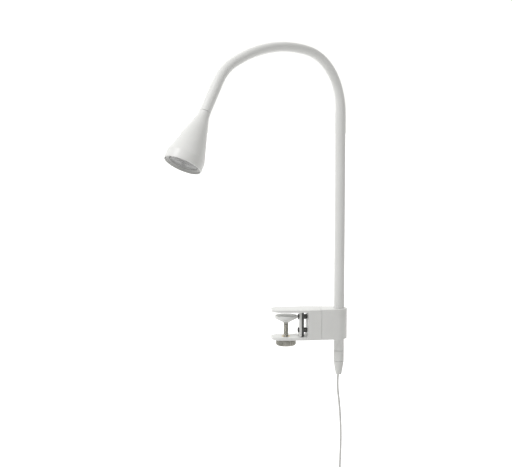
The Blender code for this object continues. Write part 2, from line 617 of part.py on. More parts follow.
def build_head(parent):
    """Shade, heat sink, board, optic and lens on the neck's last link."""
    end, tangent, side = neck_frame(NECK_LENGTH)
    axis = placed(end, tangent, side)

    def part(name, outline, slot, sides=32):
        return turned(name, outline, slot, axis, parent, sides)

    band_start = HEAD_LENGTH - HEAD_BAND
    heights = (*np.linspace(FACE_GAP, CONE_START, 5), band_start, HEAD_LENGTH - EDGE)
    outer = [(shade_radius(z), z) for z in heights]
    stud_bore = STUD_RADIUS + FACE_GAP
    part("head_shade",
         [*outer, (HEAD_RADIUS - EDGE, HEAD_LENGTH), (cavity_radius(HEAD_LENGTH), HEAD_LENGTH),
          (cavity_radius(band_start), band_start), (cavity_radius(CAVITY_START), CAVITY_START),
          (stud_bore, CAVITY_START), (stud_bore, FACE_GAP)],
         "white_metal", 40)
    stud_end = CAVITY_START + FACE_GAP + NUT_HEIGHT + STUD_PROUD
    part("head_stud", rod_outline(STUD_RADIUS, -STUD_REACH, stud_end, STUD_CHAMFER), "nickel", 20)
    nut_low = CAVITY_START + FACE_GAP
    nut_high = nut_low + NUT_HEIGHT
    nut = slab("head_nut", arc((0, 0), NUT_RADIUS, 0, 300, 5), nut_low, nut_high, "nickel", axis, parent)
    drill(nut, axis @ Vector((0, 0, nut_low - OVERSHOOT)), axis @ Vector((0, 0, nut_high + OVERSHOOT)),
          stud_bore, 20)

    lens_face = HEAD_LENGTH - LENS_RECESS
    lens_back = lens_face - LENS_THICKNESS
    optic_back = lens_back - FACE_GAP - OPTIC_HEIGHT
    chip_back = optic_back - FACE_GAP - CHIP_THICKNESS
    board_face = chip_back - FACE_GAP
    sink_face = board_face - BOARD_THICKNESS - FACE_GAP
    sink_back = sink_face - SINK_LENGTH
    sink = [(0, sink_back), (sink_radius(sink_back), sink_back)]
    for k in range(SINK_GROOVES):
        low = sink_back + SINK_GROOVE_START + k * SINK_GROOVE_PITCH
        high = low + SINK_GROOVE_WIDTH
        for z, depth in ((low, 0), (low, SINK_GROOVE_DEPTH), (high, SINK_GROOVE_DEPTH), (high, 0)):
            sink.append((sink_radius(z) - depth, z))
    sink += [(sink_radius(sink_face), sink_face), (0, sink_face)]
    heat_sink = part("heat_sink", sink, "aluminium")
    board = part("led_board", rod_outline(BOARD_RADIUS, board_face - BOARD_THICKNESS, board_face), "board")
    part("led_chip", rod_outline(CHIP_RADIUS, chip_back, chip_back + CHIP_THICKNESS), "led", 20)
    part("optic",
         [(0, lens_back - FACE_GAP), (OPTIC_RADIUS, lens_back - FACE_GAP), (OPTIC_BACK_RADIUS, optic_back),
          (0, optic_back)], "clear_plastic")
    part("lens", rod_outline(LENS_RADIUS, lens_back, lens_face, LENS_EDGE), "clear_plastic")
    ring_bore = LENS_RADIUS + FACE_GAP
    part("lens_ring",
         [(ring_bore, optic_back), (cavity_radius(optic_back) - FACE_GAP, optic_back),
          (cavity_radius(HEAD_LENGTH) - FACE_GAP, HEAD_LENGTH - RING_RECESS), (ring_bore, lens_face)],
         "grey_plastic")
    for side_name, offset in (("left", -BOARD_SCREW_OFFSET), ("right", BOARD_SCREW_OFFSET)):
        top = axis @ Vector((0, offset, board_face + OVERSHOOT))
        tip = sink_face - BOARD_SCREW_DEPTH
        head_low, head_top = board_face + FACE_GAP, board_face + BOARD_SCREW_HEAD_HEIGHT
        for drilled in (board, heat_sink):
            drill(drilled, top, axis @ Vector((0, offset, tip - FACE_GAP)),
                  BOARD_SCREW_RADIUS + RUNNING_GAP, 12)
        turned(f"board_screw_{side_name}",
               [(0, head_top), (BOARD_SCREW_TOP_RADIUS, head_top), (BOARD_SCREW_HEAD_RADIUS, head_low),
                (BOARD_SCREW_RADIUS, head_low), (BOARD_SCREW_RADIUS, tip), (0, tip)],
               "dark_steel", placed(axis @ Vector((0, offset, 0)), tangent, side), parent, 12)


def build_cord(name, route, radius=CORD_RADIUS, spacing=0.0075):
    """A plain tube along a smooth curve through the route's points."""
    points = np.array(route)
    chords = np.r_[0, np.cumsum(np.linalg.norm(np.diff(points, axis=0), axis=1))]
    slopes = np.gradient(points, chords, axis=0)
    slopes[0] = slopes[-1] = (0, 0, -1)
    wanted = np.linspace(0, chords[-1], max(4, round(chords[-1] / spacing)) + 1)
    piece = np.clip(np.searchsorted(chords, wanted, side="right") - 1, 0, len(points) - 2)
    step = np.diff(chords)[piece][:, None]
    t = ((wanted - chords[piece]) / step[:, 0])[:, None]
    smooth = ((2 * t ** 3 - 3 * t ** 2 + 1) * points[piece] + (t ** 3 - 2 * t ** 2 + t) * step * slopes[piece]
              + (3 * t ** 2 - 2 * t ** 3) * points[piece + 1] + (t ** 3 - t ** 2) * step * slopes[piece + 1])
    curve = bpy.data.curves.new(name, "CURVE")
    curve.dimensions = "3D"
    curve.bevel_depth = radius
    curve.bevel_resolution = 2
    curve.use_fill_caps = True
    spline = curve.splines.new("POLY")
    spline.points.add(len(smooth) - 1)
    spline.points.foreach_set("co", np.c_[smooth, np.ones(len(smooth))].ravel())
    curve.materials.append(material("cord"))
    made = bpy.data.objects.new(name, curve)
    bpy.context.collection.objects.link(made)


def build_switch():
    """Two half shells with a push button in the front one."""
    x, y, top = SWITCH_TOP
    width, depth, height = SWITCH_SIZE
    front, back = y - depth / 2, y + depth / 2
    low = (x - width / 2, front, top - height)
    right = x + width / 2
    shell = box("switch_front_shell", low, (right, y - FACE_GAP / 2, top), "white_plastic",
                bevel=SWITCH_ROUNDING)
    box("switch_back_shell", (low[0], y + FACE_GAP / 2, low[2]), (right, back, top), "white_plastic",
        bevel=SWITCH_ROUNDING)
    button_x, button_z = BUTTON_SIZE
    middle = top - height / 2
    floor = front + BUTTON_DEPTH + BUTTON_TRAVEL + FACE_GAP
    cut(shell, box("cutter_button",
                   (x - button_x / 2 - FACE_GAP, front - OVERSHOOT, middle - button_z / 2 - FACE_GAP),
                   (x + button_x / 2 + FACE_GAP, floor, middle + button_z / 2 + FACE_GAP), None))
    press = add_pivot("switch_press", placed((x, front, middle), (0, 1, 0), (1, 0, 0)))
    box("switch_button", (x - button_x / 2, front - BUTTON_PROUD, middle - button_z / 2),
        (x + button_x / 2, front + BUTTON_DEPTH, middle + button_z / 2), "white_plastic", press,
        bevel=BUTTON_ROUNDING)


def build_coil():
    """The wound spare cord as one ring, held by a tie."""
    turn = 2 * CORD_RADIUS
    inner = COIL_INNER_TURN - CORD_RADIUS
    outer = inner + COIL_LAYERS * turn
    half = COIL_ROWS * turn / 2
    across = placed(COIL_CENTRE, (0, 1, 0), (1, 0, 0))
    turned("cord_coil",
           [(inner, half), (outer - COIL_EDGE, half), (outer, half - COIL_EDGE), (outer, COIL_EDGE - half),
            (outer - COIL_EDGE, -half), (inner, -half)], "cord", across, sides=28)
    x, y, z = COIL_CENTRE
    grip = FACE_GAP + TIE_THICKNESS
    inner_face = x - math.sqrt(inner ** 2 - (TIE_WIDTH / 2) ** 2)
    tie = box("cord_tie", (x - outer - grip, y - half - grip, z - TIE_WIDTH / 2),
              (inner_face + grip, y + half + grip, z + TIE_WIDTH / 2), "tie")
    cut(tie, box("cutter_tie", (x - outer - FACE_GAP, y - half - FACE_GAP, z - TIE_WIDTH),
                 (inner_face + FACE_GAP, y + half + FACE_GAP, z + TIE_WIDTH), None))


def build_driver():
    """The plug-in driver: two half shells, two round pins and the cord's strain relief."""
    x, y, top = DRIVER_TOP
    width, depth, height = DRIVER_SIZE
    bottom = top - height
    box("driver_front_shell", (x - width / 2, y - depth / 2, bottom), (x + width / 2, y - FACE_GAP / 2, top),
        "white_plastic", bevel=DRIVER_ROUNDING)
    box("driver_back_shell", (x - width / 2, y + FACE_GAP / 2, bottom), (x + width / 2, y + depth / 2, top),
        "white_plastic", bevel=DRIVER_ROUNDING)
    relief_low = top + FACE_GAP
    relief_high = relief_low + DRIVER_RELIEF_LENGTH
    turned("driver_strain_relief",
           [(0, relief_high), (DRIVER_RELIEF_TIP_RADIUS, relief_high), (DRIVER_RELIEF_BASE_RADIUS, relief_low),
            (0, relief_low)],
           "white_plastic", placed((x, y, 0)), sides=20)
    for name, offset in (("plug_pin_left", -PIN_SPACING / 2), ("plug_pin_right", PIN_SPACING / 2)):
        turned(name, rod_outline(PIN_RADIUS, bottom - PIN_LENGTH, bottom - FACE_GAP, PIN_CHAMFER), "nickel",
               placed((x + offset, y, 0)), sides=16)


def main():
    for old in list(bpy.data.objects):
        bpy.data.objects.remove(old, do_unlink=True)
    build_clamp_frame()
    build_stop_plate()
    build_post_holder()
    build_lower_tube()
    build_clamp_screw()
    build_head(build_neck())
    build_cord("lamp_cord", LAMP_CORD_ROUTE)
    build_switch()
    build_cord("supply_cord_upper", UPPER_SUPPLY_ROUTE, spacing=0.005)
    build_coil()
    build_cord("supply_cord_lower", LOWER_SUPPLY_ROUTE, spacing=0.005)
    build_driver()


main()
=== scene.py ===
# Reading lamp on a screw clamp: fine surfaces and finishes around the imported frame.
import json
from math import cos, pi, radians, sin, tan

import bmesh
import bpy
import numpy as np
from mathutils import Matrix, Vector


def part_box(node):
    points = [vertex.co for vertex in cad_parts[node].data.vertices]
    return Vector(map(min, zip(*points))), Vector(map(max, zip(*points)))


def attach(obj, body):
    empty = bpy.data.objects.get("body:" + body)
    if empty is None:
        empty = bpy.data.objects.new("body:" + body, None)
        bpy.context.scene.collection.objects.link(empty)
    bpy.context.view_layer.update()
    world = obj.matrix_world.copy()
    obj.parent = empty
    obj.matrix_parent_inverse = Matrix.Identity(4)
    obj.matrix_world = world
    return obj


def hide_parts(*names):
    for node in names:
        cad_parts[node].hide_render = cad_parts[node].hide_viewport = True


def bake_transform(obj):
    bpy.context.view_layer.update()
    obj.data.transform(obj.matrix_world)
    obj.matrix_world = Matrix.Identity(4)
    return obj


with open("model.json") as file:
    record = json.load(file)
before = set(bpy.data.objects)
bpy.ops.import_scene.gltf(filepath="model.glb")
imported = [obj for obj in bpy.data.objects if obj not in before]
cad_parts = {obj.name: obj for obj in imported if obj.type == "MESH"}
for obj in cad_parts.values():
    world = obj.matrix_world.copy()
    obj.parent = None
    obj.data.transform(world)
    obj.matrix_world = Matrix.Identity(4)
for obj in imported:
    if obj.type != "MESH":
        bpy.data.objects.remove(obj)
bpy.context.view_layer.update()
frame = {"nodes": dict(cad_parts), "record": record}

gap = 0.0003  # between two faces that touch
slotOf = {part["node"]: part["material_slot"] for part in frame["record"]["subparts"]}


# ---- camera ----
cameraPlace = {"location": (-0.1665, -1.5738, 0.2750), "azimuth": -4.6, "elevation": 6.2, "lens": 85.0}

cameraData = bpy.data.cameras.new("camera")
cameraData.lens = cameraPlace["lens"]
cameraData.sensor_width = 36.0
camera = bpy.data.objects.new("camera", cameraData)
camera.location = cameraPlace["location"]
camera.rotation_euler = (radians(90 - cameraPlace["elevation"]), 0, radians(cameraPlace["azimuth"]))
bpy.context.scene.collection.objects.link(camera)
bpy.context.scene.camera = camera


# ---- shader sums ----
class Wire:
    # one output of a shader node, which can be used in sums such as 1 - wire * 0.2
    def __init__(self, tree, socket=None):
        self.tree = tree
        self.socket = socket

    def node(self, kind, settings=None, sockets=None, out=0):
        # adds a node of any kind: its settings first, then its sockets' values or links
        made = self.tree.nodes.new("ShaderNode" + kind)
        for key, value in (settings or {}).items():
            if key == "stops":
                ramp = made.color_ramp
                ramp.elements.remove(ramp.elements[-1])
                ramp.elements[0].position, ramp.elements[0].color = value[0][0], (*value[0][1], 1.0)
                for place, shade in value[1:]:
                    ramp.elements.new(place).color = (*shade, 1.0)
            else:
                setattr(made, key, value)
        for key, value in (sockets or {}).items():
            if isinstance(value, Wire):
                self.tree.links.new(value.socket, made.inputs[key])
            else:
                made.inputs[key].default_value = value
        return Wire(self.tree, made.outputs[out])

    def sum(self, operation, first, second):
        return self.node("Math", {"operation": operation}, {0: first, 1: second})

    def __add__(self, other):
        return self.sum("ADD", self, other)

    def __radd__(self, other):
        return self.sum("ADD", other, self)

    def __sub__(self, other):
        return self.sum("SUBTRACT", self, other)

    def __rsub__(self, other):
        return self.sum("SUBTRACT", other, self)

    def __mul__(self, other):
        return self.sum("MULTIPLY", self, other)

    def __rmul__(self, other):
        return self.sum("MULTIPLY", other, self)


def blendColours(wire, share, first, second):
    # first where share is 0 and second where it is 1
    return wire.node("Mix", {"data_type": "RGBA"}, {0: share, 6: first, 7: second}, 2)


def rgba(colour):
    return (*colour, 1.0)


def orangePeel(wire, place, look):
    # soft dimples of sprayed paint, with a finer grain on top
    dimples = wire.node("TexNoise", {}, {"Vector": place, "Scale": look["grain"], "Detail": 2.0})
    grains = wire.node("TexNoise", {}, {"Vector": place, "Scale": look["grain"] * 4.2, "Detail": 1.0})
    return dimples * 0.75 + grains * 0.25


def sparkGrain(wire, place, look):
    # the pitted grain of a moulded plastic housing
    cells = wire.node("TexVoronoi", {}, {"Vector": place, "Scale": look["grain"]})
    grains = wire.node("TexNoise", {}, {"Vector": place, "Scale": look["grain"] * 0.6, "Detail": 3.0})
    return cells * 0.5 + grains * 0.5


def turningMarks(wire, place, look):
    # fine rings round the upright axis and bands along it, left by the lathe
    rings = wire.node("TexWave", {"wave_type": "RINGS", "rings_direction": "Z"},
                      {"Vector": place, "Scale": look["grain"], "Distortion": 1.5, "Detail": 2.0})
    bands = wire.node("TexWave", {"wave_type": "BANDS", "bands_direction": "Z"},
                      {"Vector": place, "Scale": look["grain"], "Distortion": 1.5, "Detail": 2.0})
    return rings * 0.5 + bands * 0.5


def lengthGrain(wire, place, look):
    # faint streaks along an extruded sheath
    stretched = wire.node("Mapping", {}, {"Vector": place, "Scale": (1.0, 1.0, 0.12)})
    streaks = wire.node("TexNoise", {}, {"Vector": stretched, "Scale": look["grain"], "Detail": 2.0})
    fine = wire.node("TexNoise", {}, {"Vector": place, "Scale": look["grain"] * 2.0, "Detail": 1.0})
    return streaks * 0.7 + fine * 0.3


def wovenTape(wire, place, look):
    # warp and weft of a narrow tape, crossing at right angles
    warp = wire.node("TexWave", {"bands_direction": "Z"}, {"Vector": place, "Scale": look["grain"]})
    weft = wire.node("TexWave", {"bands_direction": "DIAGONAL"}, {"Vector": place, "Scale": look["grain"]})
    return warp * weft


def dieCells(wire, place, look):
    # the small cells under the phosphor
    return wire.node("TexVoronoi", {"feature": "DISTANCE_TO_EDGE"}, {"Vector": place, "Scale": look["grain"]})


finishLooks = {
    "white_metal": {"colour": (0.845, 0.845, 0.838), "second": (0.800, 0.800, 0.790), "clouds": 38.0,
                    "rough": (0.36, 0.46), "grain": 620.0, "depth": 0.000016, "pattern": orangePeel},
    "white_sleeve": {"colour": (0.845, 0.845, 0.840), "second": (0.810, 0.810, 0.802), "clouds": 26.0,
                     "rough": (0.42, 0.52), "grain": 900.0, "depth": 0.000008, "pattern": lengthGrain},
    "white_plastic": {"colour": (0.825, 0.825, 0.815), "second": (0.785, 0.785, 0.772), "clouds": 55.0,
                      "rough": (0.44, 0.56), "grain": 1900.0, "depth": 0.000012, "pattern": sparkGrain},
    "nickel": {"colour": (0.520, 0.510, 0.470), "second": (0.300, 0.290, 0.260), "clouds": 120.0,
               "rough": (0.18, 0.30), "grain": 900.0, "depth": 0.000006, "pattern": turningMarks,
               "metallic": 1.0},
    "dark_steel": {"colour": (0.190, 0.190, 0.188), "second": (0.130, 0.128, 0.124), "clouds": 150.0,
                   "rough": (0.34, 0.50), "grain": 1100.0, "depth": 0.000008, "pattern": orangePeel,
                   "metallic": 0.9},
    "dark_plastic": {"colour": (0.130, 0.130, 0.128), "second": (0.095, 0.095, 0.094), "clouds": 150.0,
                     "rough": (0.45, 0.60), "grain": 1700.0, "depth": 0.000010, "pattern": sparkGrain},
    "grey_plastic": {"colour": (0.400, 0.400, 0.393), "second": (0.480, 0.480, 0.470), "clouds": 60.0,
                     "rough": (0.30, 0.42), "grain": 1400.0, "depth": 0.000008, "pattern": sparkGrain},
    "brass": {"colour": (0.780, 0.610, 0.300), "second": (0.600, 0.440, 0.200), "clouds": 160.0,
              "rough": (0.26, 0.40), "grain": 1000.0, "depth": 0.000006, "pattern": turningMarks,
              "metallic": 1.0},
    "aluminium": {"colour": (0.700, 0.710, 0.720), "second": (0.600, 0.610, 0.625), "clouds": 120.0,
                  "rough": (0.30, 0.44), "grain": 1200.0, "depth": 0.000006, "pattern": turningMarks,
                  "metallic": 1.0},
    "board": {"colour": (0.880, 0.880, 0.860), "second": (0.800, 0.800, 0.770), "clouds": 300.0,
              "rough": (0.38, 0.50), "grain": 1500.0, "depth": 0.000008, "pattern": sparkGrain},
    "led": {"colour": (0.930, 0.760, 0.220), "second": (0.860, 0.620, 0.120), "clouds": 900.0,
            "rough": (0.30, 0.42), "grain": 900.0, "depth": 0.000020, "pattern": dieCells},
    # clear lens plastic, partly see-through; its grey colours are painted shade, for the dark inside of the
    # head seen through the lens
    "clear_plastic": {"colour": (0.380, 0.385, 0.385), "second": (0.210, 0.210, 0.207), "clouds": 55.0,
                      "rough": (0.10, 0.18), "grain": 500.0, "depth": 0.000006, "pattern": orangePeel,
                      "shader": {"Alpha": 0.55, "IOR": 1.49, "Coat Weight": 0.6}},
    "cord": {"colour": (0.720, 0.720, 0.708), "second": (0.680, 0.680, 0.668), "clouds": 70.0,
             "rough": (0.42, 0.54), "grain": 1500.0, "depth": 0.000010, "pattern": lengthGrain},
    "tie": {"colour": (0.300, 0.300, 0.305), "second": (0.200, 0.200, 0.205), "clouds": 700.0,
            "rough": (0.75, 0.90), "grain": 420.0, "depth": 0.000090, "pattern": wovenTape,
            "shader": {"Sheen Weight": 0.3}},
}


def makeFinish(slotName, look):
    # two near shades in soft clouds, roughness that follows them, and the slot's own fine relief as bump
    made = bpy.data.materials.new(slotName)
    made.use_nodes = True
    tree = made.node_tree
    shader = tree.nodes["Principled BSDF"]
    wire = Wire(tree)
    place = wire.node("TexCoord", out="Object")
    clouds = wire.node("TexNoise", {}, {"Vector": place, "Scale": look["clouds"], "Detail": 4.0})
    smooth = wire.node("ValToRGB", {"stops": [(0.30, (0, 0, 0)), (0.70, (1, 1, 1))]}, {0: clouds})
    relief = look["pattern"](wire, place, look)
    low, high = look["rough"]
    colour = blendColours(wire, smooth, rgba(look["colour"]), rgba(look["second"]))
    roughness = low + (smooth * 0.6 + relief * 0.4) * (high - low)
    bump = wire.node("Bump", {}, {"Strength": 1.0, "Distance": look["depth"], "Height": relief})
    for key, value in (("Base Color", colour), ("Roughness", roughness), ("Normal", bump)):
        tree.links.new(value.socket, shader.inputs[key])
    shader.inputs["Metallic"].default_value = look.get("metallic", 0.0)
    for key, value in look.get("shader", {}).items():
        shader.inputs[key].default_value = value
    return made


finishes = {name: makeFinish(name, look) for name, look in finishLooks.items()}
print("finishes made:", len(finishes))


# ---- shapes ----
def smoothShade(mesh, sharp):
    # smooth shading that breaks at edges sharper than this many degrees
    mesh.shade_smooth()
    mesh.set_sharp_from_angle(angle=radians(sharp))


def addPiece(name, points, faces, body, nodes=(), slotName=None, sharp=32, rides=True):
    # points and faces into one closed mesh: coincident points are merged, normals face outwards
    mesh = bpy.data.meshes.new(name)
    mesh.from_pydata(np.asarray(points, float).reshape(-1, 3).tolist(), [],
                     faces.tolist() if isinstance(faces, np.ndarray) else faces)
    bm = bmesh.new()
    bm.from_mesh(mesh)
    bmesh.ops.remove_doubles(bm, verts=bm.verts[:], dist=1e-7)
    bmesh.ops.recalc_face_normals(bm, faces=bm.faces[:])
    bm.to_mesh(mesh)
    bm.free()
    smoothShade(mesh, sharp)
    piece = bpy.data.objects.new(name, mesh)
    bpy.context.scene.collection.objects.link(piece)
    if nodes:
        slotName = slotOf[nodes[0]]
        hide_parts(*nodes)
    if slotName:
        mesh.materials.append(finishes[slotName])
    if body and rides:
        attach(piece, body)
    return piece


def gridFaces(rows, columns, wrapRows=False):
    # quads between neighbouring rows of points, each of which closes on itself
    row, column = np.meshgrid(np.arange(rows if wrapRows else rows - 1), np.arange(columns), indexing="ij")
    nextRow, nextColumn = (row + 1) % rows, (column + 1) % columns
    corners = (row * columns + column, row * columns + nextColumn,
               nextRow * columns + nextColumn, nextRow * columns + column)
    return np.stack(corners, -1).reshape(-1, 4)


def softened(corners, steps=6):
    # an outline of (x, y, radius) corners, each replaced by an arc that touches both of its sides
    outline = []
    for k, (x, y, radius) in enumerate(corners):
        corner = np.array((x, y))
        if radius == 0:
            outline.append(corner)
            continue
        before = np.array(corners[k - 1][:2]) - corner
        after = np.array(corners[(k + 1) % len(corners)][:2]) - corner
        before, after = before / np.linalg.norm(before), after / np.linalg.norm(after)
        half = np.arccos(np.clip(before @ after, -1, 1)) / 2
        middle = corner + (before + after) / np.linalg.norm(before + after) * radius / sin(half)
        start = corner + before * radius / tan(half) - middle
        end = corner + after * radius / tan(half) - middle
        whole = pi - 2 * half
        share = np.linspace(0, 1, steps + 1)[:, None]
        arc = np.sin((1 - share) * whole) * start + np.sin(share * whole) * end
        outline.extend(middle + arc / sin(whole))
    return np.array(outline)


def upright(x, y):
    # a frame whose axis stands at (x, y): origin and three directions
    return np.array((x, y, 0.0)), np.eye(3)


def turnedPoints(outline, sides, axis, ripple=None):
    # each (radius, height) of the outline goes round the axis: radius cos, radius sin and height
    radius, height = np.asarray(outline)[:, 0, None], np.asarray(outline)[:, 1, None]
    angle = np.arange(sides) * 2 * pi / sides
    if ripple:
        radius = radius + ripple(radius, height, angle)
    local = np.stack([radius * np.cos(angle), radius * np.sin(angle), height + 0 * angle], -1)
    origin, directions = axis
    return origin + local @ directions


def turned(name, corners, body, nodes, axis, sides=72, ring=False, steps=6, ripple=None, sharp=32):
    # a lathe piece; a ring's outline closes on itself, and any other starts and ends on the axis
    outline = softened(corners, steps)
    points = turnedPoints(outline, sides, axis, ripple)
    return addPiece(name, points, gridFaces(len(outline), sides, wrapRows=ring), body, nodes, sharp=sharp)


def prism(outline, low, high, along="z"):
    # a flat outline carried from low to high along one axis; its two ends are single faces
    count = len(outline)
    flat = np.concatenate([np.c_[outline, np.full(count, low)], np.c_[outline, np.full(count, high)]])
    order = {"z": (0, 1, 2), "y": (0, 2, 1), "x": (2, 0, 1)}[along]
    k = np.arange(count)
    sides = np.stack([k, (k + 1) % count, (k + 1) % count + count, k + count], -1)
    return flat[:, order], [list(range(count))[::-1], list(range(count, 2 * count)), *sides.tolist()]


def circle(x, y, radius, count=48):
    angle = np.arange(count) * 2 * pi / count
    return np.c_[x + radius * np.cos(angle), y + radius * np.sin(angle)]


def carve(piece, cutters):
    # takes the cutters' volumes out of the piece
    for number, (points, faces) in enumerate(cutters):
        cutter = addPiece(f"cutter{number}", points, faces, None)
        step = piece.modifiers.new("carve", "BOOLEAN")
        step.operation, step.solver, step.object = "DIFFERENCE", "EXACT", cutter
        settle(piece)
        bpy.data.objects.remove(cutter)
    return piece


def settle(piece):
    # the mesh as its modifiers leave it becomes the piece's own
    evaluated = piece.evaluated_get(bpy.context.evaluated_depsgraph_get())
    finished = bpy.data.meshes.new_from_object(evaluated)
    piece.modifiers.clear()
    piece.data = finished


def roundEdges(piece, width, segments=3, limit=32):
    # sharp edges get a small round, and the flat faces keep flat shading
    step = piece.modifiers.new("round", "BEVEL")
    step.width, step.segments = width, segments
    step.limit_method, step.angle_limit = "ANGLE", radians(limit)
    step.use_clamp_overlap = True
    even = piece.modifiers.new("even", "WEIGHTED_NORMAL")
    even.keep_sharp = False
    even.weight = 100
    settle(piece)
    piece.data.shade_smooth()
    return piece


def smoothCurve(points, spacing):
    # a smooth line through the points: a cubic between neighbours, with slopes from both sides
    points = np.array(points, float)
    travel = np.r_[0, np.cumsum(np.linalg.norm(np.diff(points, axis=0), axis=1))]
    slopes = np.gradient(points, travel, axis=0)
    slopes[0] = slopes[-1] = (0, 0, -1)
    wanted = np.linspace(0, travel[-1], round(travel[-1] / spacing) + 1)
    part = np.clip(np.searchsorted(travel, wanted, side="right") - 1, 0, len(points) - 2)
    span = np.diff(travel)[part][:, None]
    t = (wanted - travel[part])[:, None] / span
    return ((2 * t**3 - 3 * t**2 + 1) * points[part] + (t**3 - 2 * t**2 + t) * span * slopes[part]
            + (3 * t**2 - 2 * t**3) * points[part + 1] + (t**3 - t**2) * span * slopes[part + 1])


def tubeRings(path, radius, sides):
    # a ring of points round each point of the path, square to it; no path here ever runs along Y
    tangent = np.gradient(path, axis=0)
    tangent /= np.linalg.norm(tangent, axis=1)[:, None]
    across = np.cross(tangent, (0.0, 1.0, 0.0))
    across /= np.linalg.norm(across, axis=1)[:, None]
    other = np.cross(tangent, across)
    angle = (np.arange(sides) * 2 * pi / sides)[None, :, None]
    return path[:, None] + radius * (np.cos(angle) * across[:, None] + np.sin(angle) * other[:, None])


def capped(rings):
    # closes both ends of a tube with a fan to the middle of its end rings
    first = np.repeat(rings[:1].mean(1, keepdims=True), rings.shape[1], axis=1)
    last = np.repeat(rings[-1:].mean(1, keepdims=True), rings.shape[1], axis=1)
    return np.concatenate([first, rings, last])


def superShape(middle, size, powers, rows=49, sides=72, half=0, groove=None):
    # a box with swollen sides: cos and sin raised to 2/power across and along, as a superellipsoid.
    # half is -1 for the front half, +1 for the back one, and 0 for the whole shape
    middle, size = np.array(middle), np.array(size) / 2
    across, along = 2 / powers[0], 2 / powers[1]
    rise = np.linspace(-pi / 2, pi / 2, rows)[:, None]
    angle = np.linspace(0, pi, sides)[None] * half if half else (np.arange(sides) * 2 * pi / sides)[None]
    height = np.sign(np.sin(rise)) * np.abs(np.sin(rise)) ** along
    scale = np.abs(np.cos(rise)) ** along
    if groove:
        scale = scale * (1 - groove["depth"] * np.exp(-((height - groove["place"]) / groove["width"]) ** 2))
    x = np.sign(np.cos(angle)) * np.abs(np.cos(angle)) ** across * scale * size[0]
    y = np.sign(np.sin(angle)) * np.abs(np.sin(angle)) ** across * scale * (size[1] - gap / 2 * abs(half))
    y = y + half * gap / 2
    return np.stack([middle[0] + x, middle[1] + y, middle[2] + height * size[2] + 0 * x], -1)


# ---- cord, switch and driver ----
cordLook = {"radius": 0.0015, "sides": 16, "spacing": 0.0022}
lampCordRoute = [
    (0.0702, 0.0, -0.0869), (0.0697, 0.0, -0.0970), (0.0700, 0.0, -0.1075), (0.0712, 0.0, -0.1180),
    (0.0725, 0.0, -0.1305), (0.0737, 0.0, -0.1470), (0.0744, 0.0, -0.1650), (0.0744, 0.0, -0.1840),
    (0.0739, 0.0, -0.2010), (0.0734, 0.0, -0.2190),
]
upperSupplyRoute = [
    (0.0734, 0.0000, -0.2696), (0.0734, -0.0009, -0.2735), (0.0734, -0.0036, -0.2780),
    (0.0734, -0.0065, -0.2822), (0.0734, -0.0078, -0.2860), (0.0734, -0.0079, -0.2915),
    (0.0734, -0.0079, -0.3020),
]
lowerSupplyRoute = [
    (0.0824, -0.0041, -0.3175), (0.0824, -0.0033, -0.3225), (0.0824, -0.0016, -0.3275),
    (0.0824, -0.0003, -0.3320), (0.0824, 0.0000, -0.3353),
]
coilLook = {"middle": (0.0614, 0.0, -0.3050), "firstTurn": 0.0120, "layers": 4, "rows": 4, "lead": 0.0034,
            "pointsPerTurn": 30}
switchLook = {"powers": (4.5, 9.0), "buttonPowers": (4.0, 5.0), "recess": 0.0015}
driverLook = {"powers": (5.0, 10.0), "groove": {"depth": 0.035, "place": -0.72, "width": 0.022},
              "pinTip": 0.0014}
driverReliefLook = {"tip": 0.0026, "grooves": 3, "firstGroove": 0.26, "grooveStep": 0.24,
                    "grooveDepth": 0.0006}
tieLook = {"thick": 0.0012, "corner": 0.0024}


def smoothStep(value, low, high):
    share = np.clip((value - low) / (high - low), 0, 1)
    return share * share * (3 - 2 * share)


def coilPath():
    # clockwise turns side by side: radius grows a diameter in the last turn of each layer, and Y steps
    # a diameter a turn, out and back; the first half turn moves in from the front
    turns = coilLook["layers"] * coilLook["rows"]
    turn = np.linspace(0, turns, turns * coilLook["pointsPerTurn"] + 1)
    layer = np.minimum(np.floor(turn / coilLook["rows"]), coilLook["layers"] - 1)
    within = turn - coilLook["rows"] * layer
    diameter = 2 * cordLook["radius"]
    last = coilLook["layers"] - 1
    climb = np.where(layer < last, smoothStep(within, coilLook["rows"] - 1, coilLook["rows"]), 0)
    radius = coilLook["firstTurn"] + diameter * (layer + climb)
    side = (coilLook["rows"] - 1) / 2
    step = np.minimum(within, coilLook["rows"] - 1) - side
    y = diameter * step * np.where(layer % 2 == 0, 1, -1)
    y = y - coilLook["lead"] * (1 - smoothStep(turn, 0, 0.5))
    x, middleY, z = coilLook["middle"]
    angle = -2 * pi * turn
    return np.c_[x + radius * np.cos(angle), middleY + y, z + radius * np.sin(angle)]


def addCord(name, path, nodes):
    rings = capped(tubeRings(path, cordLook["radius"], cordLook["sides"]))
    return addPiece(name, rings, gridFaces(len(rings), cordLook["sides"]), "clamp_base", nodes, sharp=60)


def pathLength(path):
    return float(np.linalg.norm(np.diff(path, axis=0), axis=1).sum())


# the ends run on into the strain relief, the switch and the driver
lampCordPath = smoothCurve([(0.0703, 0.0, -0.0858), *lampCordRoute, (0.0734, 0.0, -0.2203)],
                           cordLook["spacing"])
lampCord = addCord("lampCord", lampCordPath, ["lamp_cord"])

coil = coilPath()
supplyPath = np.concatenate([
    smoothCurve([(0.0734, 0.0, -0.2683), *upperSupplyRoute], cordLook["spacing"]),
    coil,
    smoothCurve([coil[-1] + (0, 0, -0.0022), *lowerSupplyRoute, (0.0824, 0.0, -0.3720)], cordLook["spacing"]),
])
supplyCord = addCord("supplyCord", supplyPath, ["supply_cord_upper", "cord_coil", "supply_cord_lower"])


def middleAndSize(low, high):
    return [(a + b) / 2 for a, b in zip(low, high)], [b - a for a, b in zip(low, high)]


